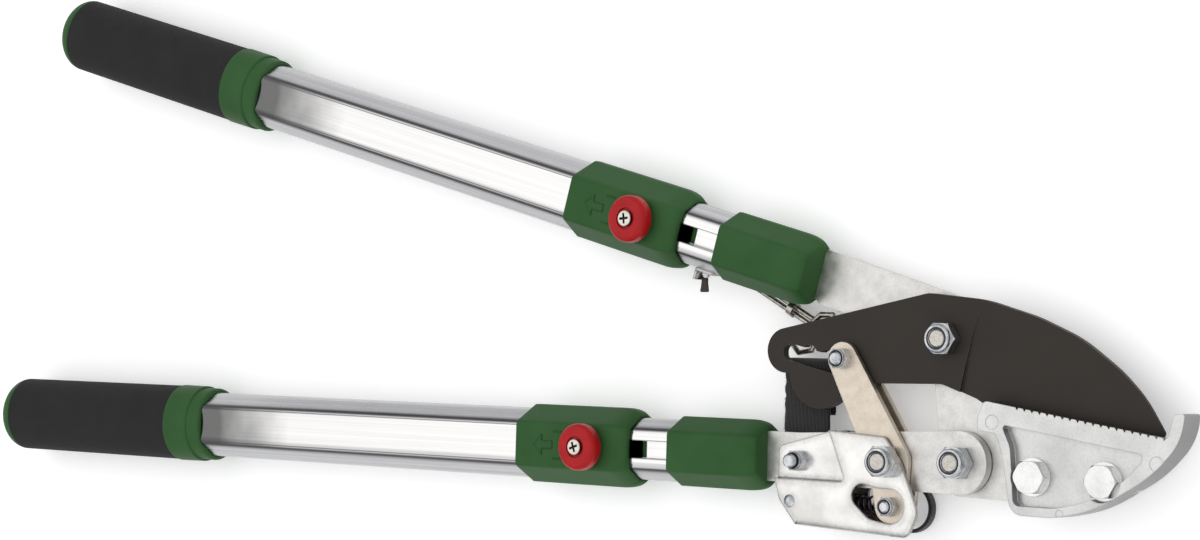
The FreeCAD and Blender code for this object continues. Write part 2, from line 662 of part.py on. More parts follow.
def lock_knob():
    """Round pull knob with a dished top and a rounded rim."""
    diameter, low, high = KNOB
    knob = disc((KNOB_S, 0), diameter / 2, low, high)
    rims = [edge for edge in knob.Edges if edge.Closed and edge.CenterOfMass.z > high - 1e-6]
    knob = knob.makeFillet(2.4, rims)
    base = [edge for edge in knob.Edges if edge.Closed and edge.CenterOfMass.z < low + 1e-6]
    knob = knob.makeFillet(0.8, base)
    knob = knob.cut(disc((KNOB_S, 0), 4.9, high - 0.9, high + 1))
    return knob.cut(disc((KNOB_S, 0), 1.75 + FIT, low - 1, high))


def knob_screw():
    """Pan head screw with a cross recess."""
    seat = KNOB[2] - 0.9
    head = disc((KNOB_S, 0), 3.65, seat, seat + 2.0)
    rim = [edge for edge in head.Edges if edge.Closed and edge.CenterOfMass.z > seat + 1.9]
    head = head.makeFillet(0.7, rim)
    screw = head.fuse(disc((KNOB_S, 0), 1.7, KNOB[1] - 3.6, seat))
    for turn in (20, 110):
        blade_of_driver = Part.makeBox(4.8, 1.1, 2, V(-2.4, -0.55, 0))
        blade_of_driver.rotate(V(0, 0, 0), UP, turn)
        blade_of_driver.translate(V(KNOB_S, 0, seat + 0.6))
        screw = screw.cut(blade_of_driver)
    return screw


PIN_NOSE = INNER_TUBE[1] / 2 - CHANNEL[1] + 0.5


def lock_pin():
    """Steel pin under the knob; its collar holds the spring down."""
    pin = disc((KNOB_S, 0), 2.6, PIN_NOSE, KNOB[1] - 0.05)
    nose = [edge for edge in pin.Edges if edge.Closed and edge.CenterOfMass.z < PIN_NOSE + 1e-6]
    pin = pin.makeChamfer(0.5, nose)
    pin = pin.fuse(disc((KNOB_S, 0), 3.5, PIN_NOSE + 1.0, PIN_NOSE + 1.9))
    return pin.cut(disc((KNOB_S, 0), 1.75, KNOB[1] - 4.0, KNOB[1]))


def lock_spring():
    low = PIN_NOSE + 2.35
    high = HOUSING[1] / 2 - 1.45
    return coil(3.2, 0.8, high - low, 3, V(KNOB_S, 0, low), UP)


def grip():
    """Foam sleeve over the outer tube."""
    sleeve = Part.makeLoft([ellipse_section(s, *GRIP) for s in (CAP_S, COLLAR_S[0] - 0.05)], True, True)
    return sleeve.cut(tube_solid(OUTER_TUBE, -FIT, (CAP_S - 1, COLLAR_S[0] + 1)))


def end_cap():
    """Domed plastic end of the grip, with a plug that fills the end of the tube."""
    sections = []
    for i in range(7):
        angle = math.radians(84 * i / 6)
        scale = math.cos(angle)
        sections.append(ellipse_section(CAP_S - 0.05 - CAP_DEPTH * math.sin(angle),
                                        GRIP[0] * scale, GRIP[1] * scale))
    plug = tube_solid(OUTER_TUBE, OUTER_TUBE[5] + FIT, (CAP_S - 0.1, CAP_S + 12))
    return Part.makeLoft(sections, True, False).fuse(plug)


def rim_at(solid, s):
    """The closed edges of a solid that lie across X at s."""
    return [edge for edge in solid.Edges if edge.Closed and abs(edge.CenterOfMass.x - s) < 1e-6]


def grip_collar():
    """Plastic ring at the front of the grip: a barrel, and a neck rounded down to the tube."""
    start, end = COLLAR_S
    shoulder = start + 17
    barrel = Part.makeLoft([ellipse_section(start, GRIP[0] + 0.8, GRIP[1]),
                            ellipse_section(shoulder, GRIP[0] + 0.4, GRIP[1] - 0.2)], True, True)
    barrel = barrel.makeFillet(0.6, rim_at(barrel, shoulder))
    neck = Part.makeLoft([ellipse_section(s, GRIP[0] - 1.4, GRIP[1] - 1.4) for s in (shoulder - 4, end)],
                         True, True)
    neck = neck.makeFillet(2.0, rim_at(neck, end))
    return barrel.fuse(neck).cut(tube_solid(OUTER_TUBE, -FIT, spread(COLLAR_S, 5)))


def placed(shape, handle):
    x, y, turn = handle
    moved = shape.copy()
    moved.rotate(V(0, 0, 0), UP, turn)
    moved.translate(V(x, y, 0))
    return moved


# ---------------------------------------------------------------- upper handle's catch bracket

UNDER = -INNER_TUBE[0] / 2 - 0.1          # just under the upper handle's inner tube


def catch_bracket():
    """Small bent bracket under the inner tube, with a tongue behind the closing rod."""
    foot = Part.makeBox(10, 1.4, 17, V(CATCH_S - 5, UNDER - 1.4, -15.9))
    tongue = Part.makeBox(10, 7.0, 1.3, V(CATCH_S - 5, UNDER - 1.4, -15.9))
    ear = Part.makeBox(1.4, 4.0, 5, V(CATCH_S - 5, UNDER - 5.4, -3.6))
    return foot.fuse([tongue, ear])


def catch_rivet():
    rivet = Part.makeCylinder(2.1, 1.2, V(CATCH_S, UNDER - 1.45, -1.4), V(0, -1, 0))
    return rivet.fuse(Part.makeCylinder(1.4, 0.8, V(CATCH_S, UNDER - 2.6, -1.4), V(0, -1, 0)))


def catch_tab():
    """Dark flexible tab hanging from the bracket, square to the lower handle."""
    return Part.makeBox(4.5, 8.2, 1.6, V(55.2, 72.4, -5.4))


def jaw_parts():
    """Blade, anvil and the upper arm's plate, with the pivots and bolts that hold them."""
    arm = upper_arm_plate()
    back = UPPER_ARM_Z[0]
    parts = {"upper_arm_plate": arm, "anvil": anvil(arm), "blade": blade()}
    parts["anvil_bolts"] = Part.makeCompound([
        bolt(c, M8, POCKET_FLOOR + 0.05, REST, flange=8.0) for c in ANVIL_BOLTS])
    parts["anvil_nuts"] = Part.makeCompound([
        hexagon(c, M8[1], back - 7.6, back - 1.15).cut(disc(c, M8[0] / 2 + FIT, -30, 0))
        for c in ANVIL_BOLTS])
    parts["anvil_washers"] = Part.makeCompound([
        disc(c, 8.2, back - 1.1, back - FIT).cut(disc(c, M8[0] / 2 + FIT, -30, 0)) for c in ANVIL_BOLTS])
    for name, centre, face in (("jaw_pivot", JAW, BLADE_Z[1]), ("arm_pivot", ARM, LOWER_ARM_Z[1])):
        seat = face + GAP
        parts[name + "_bolt"] = bolt(centre, M8, back - FIT, seat + M8[3] - 0.4)
        parts[name + "_nut"] = lock_nut(centre, M8, seat)
    return parts


def cover_parts():
    """The lower arm's plate between its two covers, and what is bolted or riveted through them."""
    outer = COVER_HIGH + COVER_SHEET
    seat = FRONT_COVER_LOW + COVER_SHEET
    return {
        "lower_arm_plate": lower_arm_plate(),
        "front_cover": cover(FRONT_COVER_LOW),
        "rear_cover": rear_cover(),
        "link_pivot_bolt": bolt(LINK, M8, -outer - FIT, outer + M8[3] - 0.4),
        "link_pivot_nut": lock_nut(LINK, M8, outer + FIT),
        "cover_bolt": bolt(COVER_BOLT, M6, -STRAP_Z - STRAP[1] - 0.15, seat + M6[3] + 3.2),
        "cover_nut": lock_nut(COVER_BOLT, M6, seat + FIT),
        "spring_rivet": spring_rivet(),
        "pawl_spring": pawl_spring()}


def link_parts():
    """The link pair with the pins at both of its ends."""
    spacer = disc(TAIL, 3.1, REAR_LINK_Z[1] + FIT, FRONT_LINK_Z[0] - FIT)
    return {
        "front_link": link_plate(FRONT_LINK_Z),
        "rear_link": link_plate(REAR_LINK_Z),
        "link_pin": link_pin(),
        "link_pin_nut": lock_nut(PIN, M6, FRONT_LINK_Z[1] + FIT),
        "tail_bolt": bolt(TAIL, M5, REAR_LINK_Z[0] - FIT, FRONT_LINK_Z[1] + M5[3] + 0.6),
        "tail_nut": lock_nut(TAIL, M5, FRONT_LINK_Z[1] + FIT),
        "tail_spacer": spacer.cut(disc(TAIL, M5[0] / 2 + FIT, -9, 9))}


def strap_parts():
    """The strap, its rings and wires, and the catch under the upper handle."""
    return {
        "strap": strap(),
        "strap_ring": strap_ring(),
        "strap_loop": strap_loop(),
        "closing_rod": closing_rod(),
        "catch_bracket": placed(catch_bracket(), UPPER_HANDLE),
        "catch_rivet": placed(catch_rivet(), UPPER_HANDLE),
        "catch_tab": catch_tab()}


def handle_parts():
    """Both handles: the same pieces twice, but each ferrule is slotted for its own arm."""
    pieces = {
        "inner_tube": inner_tube(), "outer_tube": outer_tube(), "lock_housing": lock_housing(),
        "lock_knob": lock_knob(), "knob_screw": knob_screw(), "lock_pin": lock_pin(),
        "lock_spring": lock_spring(), "grip": grip(), "end_cap": end_cap(), "grip_collar": grip_collar()}
    parts = {}
    for side, handle, levels in (("lower", LOWER_HANDLE, LOWER_ARM_Z), ("upper", UPPER_HANDLE, UPPER_ARM_Z)):
        parts[side + "_ferrule"] = placed(ferrule(levels, TANG_HALF[side]), handle)
        for name, shape in pieces.items():
            parts[side + "_" + name] = placed(shape, handle)
    return parts


def build():
    return {**jaw_parts(), **cover_parts(), **link_parts(), **strap_parts(), **handle_parts()}


def main():
    os.makedirs("parts", exist_ok=True)
    parts = build()
    box = FreeCAD.BoundBox()
    for shape in parts.values():
        box.add(shape.optimalBoundingBox(False, False))
    to_origin = V(-box.Center.x, -box.Center.y, -box.ZMin)
    print("moved by", to_origin, "size", box.XLength, box.YLength, box.ZLength)
    for name, shape in parts.items():
        moved = shape.copy()
        moved.translate(to_origin)
        moved.exportStep(os.path.join("parts", name + ".step"))
        if not moved.isValid():
            print("not valid:", name)
        print(name, len(moved.Solids), round(moved.Volume))


main()
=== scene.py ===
import json
import math
import random

import bmesh
import bpy
from mathutils import Matrix, Vector


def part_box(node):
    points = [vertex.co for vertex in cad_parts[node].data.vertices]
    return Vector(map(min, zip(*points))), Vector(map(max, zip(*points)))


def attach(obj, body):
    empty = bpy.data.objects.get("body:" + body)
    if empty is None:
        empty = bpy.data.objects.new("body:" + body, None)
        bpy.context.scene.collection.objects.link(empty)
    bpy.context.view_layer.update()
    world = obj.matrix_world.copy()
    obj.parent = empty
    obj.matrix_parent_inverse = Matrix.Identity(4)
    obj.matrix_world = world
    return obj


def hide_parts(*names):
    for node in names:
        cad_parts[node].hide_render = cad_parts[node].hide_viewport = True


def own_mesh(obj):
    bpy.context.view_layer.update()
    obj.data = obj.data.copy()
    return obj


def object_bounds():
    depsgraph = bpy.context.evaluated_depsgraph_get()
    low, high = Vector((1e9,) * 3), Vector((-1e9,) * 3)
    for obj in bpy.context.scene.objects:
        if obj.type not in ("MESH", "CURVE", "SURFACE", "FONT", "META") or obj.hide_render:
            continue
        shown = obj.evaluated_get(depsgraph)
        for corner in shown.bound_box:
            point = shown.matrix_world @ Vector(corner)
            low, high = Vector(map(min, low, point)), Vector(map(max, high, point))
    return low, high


# Looks of a pair of telescopic ratchet loppers lying on a pale floor. Metres throughout.

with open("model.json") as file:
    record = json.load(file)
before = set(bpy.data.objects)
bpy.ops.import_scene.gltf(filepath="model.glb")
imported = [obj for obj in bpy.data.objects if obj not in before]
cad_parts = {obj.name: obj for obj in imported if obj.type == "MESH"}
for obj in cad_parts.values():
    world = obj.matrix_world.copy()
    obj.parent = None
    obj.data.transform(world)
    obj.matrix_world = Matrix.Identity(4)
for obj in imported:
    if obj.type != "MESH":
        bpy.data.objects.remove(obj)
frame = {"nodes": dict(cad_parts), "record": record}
cad_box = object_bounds()
record = frame["record"]
nodes = frame["nodes"]
bodies = record["behaviour"]["bodies"]
joints = {joint["name"]: joint for joint in record["behaviour"]["joints"]}

MM = 0.001


def centre(node):
    """Middle of a node's box."""
    low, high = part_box(node)
    return (Vector(low) + Vector(high)) / 2


def body_of(node):
    """Name of the body that a node moves with."""
    return next(name for name, members in bodies.items() if node in members)


# Both handles have axes of their own: s towards the jaw from the lock knob, n to the left of it.
MIDDLE = centre("lower_outer_tube").z
TURN = {"lower": 0.0, "upper": 0.0}
SEAT = {}
for side in TURN:
    out = joints[side + "_telescope"]["axis"]
    TURN[side] = math.atan2(-out[1], -out[0])
    knob = centre(side + "_lock_knob")
    SEAT[side] = Vector((knob.x, knob.y, MIDDLE))


def on_handle(side, s, n, height):
    """A point of a handle: s ahead of its lock knob, n to the left, height above the axis, in mm."""
    turn = TURN[side]
    ahead = Vector((math.cos(turn), math.sin(turn), 0))
    left = Vector((-math.sin(turn), math.cos(turn), 0))
    return SEAT[side] + (ahead * s + left * n + Vector((0, 0, height))) * MM


# ---------------------------------------------------------------- materials

class Surface:
    """A principled material, with short calls for the procedural nodes that feed it."""

    def __init__(self, name, metallic=0.0, specular=0.5):
        self.material = bpy.data.materials.new(name)
        self.material.use_nodes = True
        self.tree = self.material.node_tree
        self.shader = self.tree.nodes["Principled BSDF"]
        self.shader.inputs["Metallic"].default_value = metallic
        self.shader.inputs["Specular IOR Level"].default_value = specular

    def node(self, kind, links=(), **values):
        """A new node; links pairs each socket with another node's output or with a value."""
        made = self.tree.nodes.new(kind)
        for key, value in values.items():
            setattr(made, key, value)
        for socket, source in links:
            if isinstance(source, bpy.types.NodeSocket):
                self.tree.links.new(source, made.inputs[socket])
            else:
                made.inputs[socket].default_value = source
        return made

    def place(self, scale=(1, 1, 1), turn=0.0, origin=(0, 0, 0)):
        """Coordinates in metres from origin, turned with a handle and stretched by scale."""
        base = self.node("ShaderNodeTexCoord").outputs["Object"]
        local = self.node("ShaderNodeMapping", [(0, base), (1, origin), (2, (0, 0, turn))],
                          vector_type="TEXTURE").outputs[0]
        return self.node("ShaderNodeMapping", [(0, local), (3, scale)]).outputs[0]

    def noise(self, where, scale, detail=3.0):
        made = self.node("ShaderNodeTexNoise", [("Vector", where), ("Scale", scale),
                                                ("Detail", detail), ("Roughness", 0.55)])
        return made.outputs["Fac"]

    def math(self, operation, a, b=0.0):
        return self.node("ShaderNodeMath", [(0, a), (1, b)], operation=operation).outputs[0]

    def spread(self, value, low, high, start=0.3, end=0.7):
        """Maps start..end of a value to low..high."""
        made = self.node("ShaderNodeMapRange", [(0, value), (1, start), (2, end), (3, low), (4, high)])
        return made.outputs[0]

    def blend(self, factor, first, second):
        """Colour that goes from first to second as factor goes from 0 to 1."""
        made = self.node("ShaderNodeMix", data_type="RGBA")
        for index, source in ((0, factor), (6, first), (7, second)):
            if isinstance(source, bpy.types.NodeSocket):
                self.tree.links.new(source, made.inputs[index])
            elif index:
                made.inputs[index].default_value = (*source, 1)
            else:
                made.inputs[index].default_value = source
        return made.outputs[2]

    def rounded(self, radius):
        """Normals rounded over the edges by radius, in mm."""
        return self.node("ShaderNodeBevel", [("Radius", radius * MM)], samples=4).outputs["Normal"]

    def bump(self, height, depth, normal=None):
        """Relief of the given depth in mm."""
        links = [("Height", height), ("Distance", depth * MM), ("Strength", 1.0)]
        if normal is not None:
            links.append(("Normal", normal))
        return self.node("ShaderNodeBump", links).outputs[0]

    def edges(self, radius, start=0.86, end=0.985):
        """About 1 along the edges and creases, and 0 on the faces."""
        plain = self.node("ShaderNodeNewGeometry").outputs["Normal"]
        dot = self.node("ShaderNodeVectorMath", [(0, self.rounded(radius)), (1, plain)],
                        operation="DOT_PRODUCT").outputs["Value"]
        return self.spread(dot, 1.0, 0.0, start, end)

    def finish(self, colour, roughness, normal):
        """Feeds the shader and gives the finished material."""
        for socket, source in (("Base Color", colour), ("Roughness", roughness), ("Normal", normal)):
            self.tree.links.new(source, self.shader.inputs[socket])
        return self.material


def moulded_plastic():
    """Satin green plastic: fine spark-eroded grain, a parting line at half height, paler edges."""
    s = Surface("green_plastic", specular=0.08)
    at = s.place()
    drift = s.noise(at, 45)
    grain = s.noise(at, 2600, 2)
    colour = s.blend(s.spread(drift, 0, 1), (0.028, 0.086, 0.025), (0.037, 0.103, 0.033))
    worn = s.math("MULTIPLY", s.edges(1.6), s.spread(s.noise(at, 400), 0.0, 0.45))
    colour = s.blend(worn, colour, (0.050, 0.170, 0.062))
    height = s.node("ShaderNodeSeparateXYZ", [(0, at)]).outputs["Z"]
    off = s.math("ABSOLUTE", s.math("SUBTRACT", height, MIDDLE))
    line = s.spread(off, 1.0, 0.0, 0.00005, 0.0002)
    normal = s.bump(grain, 0.035, s.rounded(1.7))
    normal = s.bump(line, 0.08, normal)
    return s.finish(colour, s.spread(drift, 0.42, 0.54), normal)


def red_plastic():
    """Glossier red plastic of the knobs, barely grained."""
    s = Surface("red_plastic", specular=0.2)
    at = s.place()
    drift = s.noise(at, 120)
    colour = s.blend(s.spread(drift, 0, 1), (0.34, 0.004, 0.006), (0.43, 0.006, 0.009))
    normal = s.bump(s.noise(at, 1600), 0.02, s.rounded(0.4))
    return s.finish(colour, s.spread(s.noise(at, 500), 0.30, 0.42), normal)


def foam():
    """Closed-cell foam: matte, with fine open pores and slow unevenness."""
    s = Surface("foam", specular=0.16)
    at = s.place()
    drift = s.noise(at, 55, 4)
    pores = s.node("ShaderNodeTexVoronoi", [("Vector", at), ("Scale", 1500.0)]).outputs["Distance"]
    colour = s.blend(s.spread(drift, 0, 1), (0.017, 0.017, 0.0175), (0.026, 0.026, 0.0265))
    colour = s.blend(s.spread(pores, 0.5, 0.0, 0.0, 0.35), colour, (0.010, 0.010, 0.010))
    height = s.math("ADD", pores, s.math("MULTIPLY", drift, 2.0))
    return s.finish(colour, s.spread(drift, 0.72, 0.9), s.bump(height, 0.10))


def polished_tube(side, name, flat, shaded, line):
    """Drawn aluminium: bright flats, shoulders greyed with painted shade and a little rougher, and painted
    shade that greys one end.

    flat is half the width of the front flat and line the distance of a painted shade line from its
    middle; shaded gives the places along the handle where the painted shade of the grey end is full and where
    it has gone.
    All are in mm, the places from the lock knob.
    """
    s = Surface(side + name, metallic=1.0)
    turn = TURN[side]
    origin = tuple(SEAT[side])
    at = s.place(turn=turn, origin=origin)
    streaks = s.noise(s.place((4, 700, 700), turn, origin), 1.0, 4)
    cloud = s.noise(at, 25)
    parts = s.node("ShaderNodeSeparateXYZ", [(0, at)])
    away = s.math("ABSOLUTE", parts.outputs["Y"])
    shoulder = s.spread(away, 0.0, 1.0, (flat - 0.35) * MM, (flat + 0.25) * MM)
    # A strip of painted shade on the shoulders, next to the flat.
    painted_shade_band = s.spread(away, 1.0, 0.0, (flat + 0.9) * MM, (flat + 2.4) * MM)
    drift = s.math("MULTIPLY", s.math("SUBTRACT", cloud, 0.5), 0.05)
    # Painted shade that greys the flat towards the collar end.
    end = s.spread(s.math("ADD", parts.outputs["X"], drift), 1.0, 0.0, shaded[0] * MM, shaded[1] * MM)
    bright = s.blend(s.spread(streaks, 0, 1), (0.66, 0.65, 0.64), (0.78, 0.775, 0.765))
    bright = s.blend(end, bright, (0.13, 0.13, 0.128))
    # The shoulders' colour is painted shade, greyer than the flat.
    dull = s.blend(s.spread(streaks, 0, 1), (0.38, 0.38, 0.39), (0.54, 0.54, 0.55))
    dull = s.blend(painted_shade_band, dull, (0.13, 0.13, 0.135))
    # Painted shade: a dark line along the flat, at the distance line from its middle.
    shade_line_distance = s.math("ABSOLUTE", s.math("SUBTRACT", away, line * MM))
    bright = s.blend(s.spread(shade_line_distance, 0.75, 0.0, 0.12 * MM, 0.38 * MM), bright, (0.10, 0.10, 0.105))
    colour = s.blend(shoulder, bright, dull)
    rough = s.math("ADD", s.spread(streaks, 0.10, 0.20), s.spread(cloud, 0.0, 0.06))
    rough = s.math("ADD", rough, s.math("MULTIPLY", shoulder, 0.10))
    return s.finish(colour, rough, s.bump(streaks, 0.006, s.rounded(0.25)))


def coated_blade():
    """Satin charcoal coating over ground steel, rubbed a little along the edges."""
    s = Surface("blade_coating", specular=0.22)
    at = s.place()
    brushed = s.noise(s.place((260, 2600, 400)), 1.0, 3)
    cloud = s.noise(at, 30)
    colour = s.blend(s.spread(cloud, 0, 1), (0.021, 0.0170, 0.0135), (0.029, 0.0235, 0.0185))
    rub = s.math("MULTIPLY", s.edges(0.5), s.spread(s.noise(at, 350), 0.1, 0.7))
    colour = s.blend(rub, colour, (0.12, 0.11, 0.10))
    normal = s.bump(brushed, 0.008, s.rounded(0.3))
    return s.finish(colour, s.spread(cloud, 0.42, 0.52), normal)


def plated_steel(name, dark, light, rough, mottle, depth, soften=0.3):
    """Zinc or nickel plate over steel: mottled colour, fine grain, its own tone along the edges."""
    s = Surface(name, metallic=1.0)
    at = s.place()
    clouds = s.noise(at, mottle, 4)
    grain = s.noise(at, 2200, 2)
    fleck = s.math("ADD", s.math("MULTIPLY", clouds, 0.65), s.math("MULTIPLY", grain, 0.35))
    colour = s.blend(s.spread(fleck, 0, 1, 0.38, 0.62), dark, light)
    edge = s.math("MULTIPLY", s.edges(0.3), 0.6)
    colour = s.blend(edge, colour, (0.72, 0.71, 0.69))
    return s.finish(colour, s.spread(clouds, *rough), s.bump(fleck, depth, s.rounded(soften)))


def bright_pressing():
    """Bright plated sheet: clouded shine, painted shade in grey bands along the bends and in dark lines in
    the creases.
    """
    s = Surface("bright_cover", metallic=1.0)
    at = s.place()
    clouds = s.noise(at, 60, 4)
    grain = s.noise(at, 2200, 2)
    colour = s.blend(s.spread(clouds, 0, 1, 0.35, 0.65), (0.56, 0.55, 0.53), (0.78, 0.77, 0.75))
    # Painted shade: patchy grey bands along the bends.
    bend = s.math("MULTIPLY", s.edges(4.5, 0.92, 0.9998), s.spread(s.noise(at, 500), 0.35, 0.75))
    colour = s.blend(bend, colour, (0.22, 0.215, 0.21))
    # Painted shade: dark lines in the creases.
    painted_crease_shade = s.math("MULTIPLY", s.edges(1.5, 0.90, 0.998), 0.9)
    colour = s.blend(painted_crease_shade, colour, (0.06, 0.055, 0.052))
    height = s.math("ADD", clouds, s.math("MULTIPLY", grain, 0.4))
    return s.finish(colour, s.spread(clouds, 0.16, 0.30), s.bump(height, 0.03, s.rounded(0.9)))


def cast_aluminium():
    """Die casting: cloudy skin, fine pimples, painted shade on the steep walls, polished a little on the
    edges.
    """
    s = Surface("cast_aluminium", metallic=0.92)
    at = s.place()
    cloud = s.noise(at, 70, 5)
    skin = s.noise(at, 900, 3)
    colour = s.blend(s.spread(cloud, 0, 1), (0.48, 0.48, 0.475), (0.68, 0.68, 0.67))
    colour = s.blend(s.spread(skin, 0.16, 0.0, 0.32, 0.5), colour, (0.22, 0.22, 0.22))
    # Painted shade: the walls that face sideways are darker than the faces that look up.
    facing = s.node("ShaderNodeTexCoord").outputs["Normal"]
    facing = s.node("ShaderNodeSeparateXYZ", [("Vector", facing)]).outputs["Z"]
    painted_wall_shade = s.spread(s.math("ABSOLUTE", facing), 0.8, 0.0, 0.1, 0.8)
    colour = s.blend(painted_wall_shade, colour, (0.16, 0.16, 0.16))
    rub = s.math("MULTIPLY", s.edges(0.6), 0.5)
    colour = s.blend(rub, colour, (0.80, 0.80, 0.79))
    height = s.math("ADD", skin, s.math("MULTIPLY", cloud, 1.5))
    return s.finish(colour, s.spread(cloud, 0.26, 0.40), s.bump(height, 0.04, s.rounded(0.7)))


def bolt_ends():
    """Cut bolt tips and pins, warm and rough, with the thread as rings down the shank."""
    s = Surface("bolt_end", metallic=0.85)
    at = s.place()
    rough = s.noise(at, 1100, 3)
    colour = s.blend(s.spread(rough, 0, 1), (0.40, 0.375, 0.34), (0.66, 0.63, 0.58))
    rings = s.node("ShaderNodeTexWave", [("Vector", at), ("Scale", 128.0), ("Distortion", 0.0)],
                   bands_direction="Z").outputs["Fac"]
    height = s.math("ADD", rings, s.math("MULTIPLY", rough, 0.5))
    return s.finish(colour, s.spread(rough, 0.34, 0.5), s.bump(height, 0.10, s.rounded(0.3)))


def cross_screw():
    """Bright pan head whose cross recess is darkened with painted shade."""
    s = Surface("cross_screw", metallic=0.9)
    at = s.place()
    grain = s.noise(at, 600, 3)
    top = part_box("lower_knob_screw")[1][2]
    height = s.node("ShaderNodeSeparateXYZ", [(0, at)]).outputs["Z"]
    # Painted shade: the cross recess turns dark from 0.45 mm below the head's top.
    painted_recess_shade = s.spread(height, 1.0, 0.0, top - 0.75 * MM, top - 0.45 * MM)
    colour = s.blend(s.spread(grain, 0, 1), (0.56, 0.53, 0.46), (0.74, 0.71, 0.64))
    colour = s.blend(painted_recess_shade, colour, (0.035, 0.028, 0.024))
    return s.finish(colour, s.spread(grain, 0.30, 0.42), s.bump(grain, 0.02, s.rounded(0.2)))


def woven(name):
    """Black webbing: ribs along its length crossed by a fine weft."""
    s = Surface(name, specular=0.2)
    s.shader.inputs["Sheen Weight"].default_value = 0.35
    s.shader.inputs["Sheen Roughness"].default_value = 0.5
    at = s.place()
    ribs = s.node("ShaderNodeTexWave", [("Vector", at), ("Scale", 430.0), ("Distortion", 0.6)],
                  bands_direction="X").outputs["Fac"]
    weft = s.node("ShaderNodeTexWave", [("Vector", at), ("Scale", 620.0), ("Distortion", 0.8)],
                  bands_direction="Y").outputs["Fac"]
    fuzz = s.noise(at, 1500, 3)
    weave = s.math("MULTIPLY", ribs, s.math("ADD", weft, 0.4))
    height = s.math("ADD", weave, s.math("MULTIPLY", fuzz, 0.5))
    colour = s.blend(s.spread(weave, 0, 1, 0.1, 1.0), (0.005, 0.005, 0.006), (0.022, 0.022, 0.024))
    return s.finish(colour, s.spread(fuzz, 0.7, 0.9), s.bump(height, 0.15))


def dull(name, dark, light, rough, depth, metallic=0.0):
    """A small plain piece: two near colours, fine noise and a little relief."""
    s = Surface(name, metallic=metallic, specular=0.35)
    at = s.place()
    noise = s.noise(at, 700, 4)
    colour = s.blend(s.spread(noise, 0, 1), dark, light)
    return s.finish(colour, s.spread(noise, *rough), s.bump(noise, depth, s.rounded(0.2)))


def pale_floor():
    """Near-white card that glows a little, so the floor stays even under the soft lights."""
    s = Surface("pale_floor", specular=0.1)
    s.shader.inputs["Emission Color"].default_value = (1, 1, 1, 1)
    s.shader.inputs["Emission Strength"].default_value = 0.25
    noise = s.noise(s.place(), 3, 3)
    colour = s.blend(s.spread(noise, 0, 1), (0.90, 0.90, 0.90), (0.92, 0.92, 0.92))
    return s.finish(colour, s.spread(noise, 0.85, 0.95), s.bump(noise, 0.02))


# Plated finishes: dark and light colour, smoothest and roughest, mottle scale, relief in mm.
ZINC = plated_steel("blue_zinc", (0.30, 0.315, 0.335), (0.66, 0.675, 0.69), (0.14, 0.28), 160, 0.02)
PALE_BOLTS = plated_steel("pale_bolts", (0.60, 0.60, 0.59), (0.76, 0.76, 0.75), (0.14, 0.24), 120, 0.015)
GALVANISED = plated_steel("galvanised_plate", (0.52, 0.51, 0.49), (0.74, 0.73, 0.71), (0.36, 0.50), 160, 0.04)
WARM_PLATE = plated_steel("warm_plate", (0.54, 0.47, 0.385), (0.70, 0.625, 0.53), (0.36, 0.50), 240, 0.04,
                          soften=0.7)
WIRE = plated_steel("bright_wire", (0.22, 0.20, 0.18), (0.50, 0.47, 0.43), (0.20, 0.32), 400, 0.02)
WEBBING = woven("webbing")
NYLON = dull("nylon_ring", (0.010, 0.014, 0.022), (0.022, 0.028, 0.040), (0.35, 0.5), 0.02)
DARK_STEEL = dull("oiled_spring", (0.030, 0.020, 0.026), (0.075, 0.055, 0.065), (0.22, 0.4), 0.02, 1.0)
DARK_RUBBER = dull("dark_tab", (0.020, 0.014, 0.012), (0.050, 0.036, 0.030), (0.45, 0.65), 0.08)
GREEN = moulded_plastic()

BY_SLOT = {
    "arm_plate": GALVANISED, "anvil": cast_aluminium(), "fastener": ZINC, "blade": coated_blade(),
    "cover": bright_pressing(), "link": WARM_PLATE, "wire": WIRE, "spring": DARK_STEEL, "webbing": WEBBING,
    "tab": DARK_RUBBER, "shell": GREEN, "knob": red_plastic(), "screw": cross_screw(), "foam": foam()}
# Bolts whose cut tips show in front.
THREADED = ["jaw_pivot_bolt", "arm_pivot_bolt", "link_pivot_bolt"]


def dress(thing, material):
    """Gives a thing one material and no other."""
    thing.data.materials.clear()
    thing.data.materials.append(material)


def dress_cad():
    """Every CAD node gets the finish of its slot; the tubes and some bolts then get their own."""
    for subpart in record["subparts"]:
        name = subpart["node"]
        if subpart["material_slot"] in BY_SLOT:
            dress(nodes[name], BY_SLOT[subpart["material_slot"]])
    for side in TURN:
        dress(nodes[side + "_outer_tube"], polished_tube(side, "_outer_tube", 9.4, (-245, -195), 8.5))
        dress(nodes[side + "_inner_tube"], polished_tube(side, "_inner_tube", 8.6, (-345, -300), 4.1))
    dress(nodes["anvil_bolts"], PALE_BOLTS)
    tips = bolt_ends()
    for name in THREADED:
        dress(nodes[name], tips)


# ---------------------------------------------------------------- pieces made here

def piece(name, build, material, body, smooth=True):
    """A mesh made by build(bm), dressed, and riding on a body."""
    bm = bmesh.new()
    build(bm)
    bmesh.ops.recalc_face_normals(bm, faces=bm.faces)
    mesh = bpy.data.meshes.new(name)
    bm.to_mesh(mesh)
    bm.free()
    for polygon in mesh.polygons:
        polygon.use_smooth = smooth
    thing = bpy.data.objects.new(name, mesh)
    bpy.context.scene.collection.objects.link(thing)
    dress(thing, material)
    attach(thing, body)
    return thing


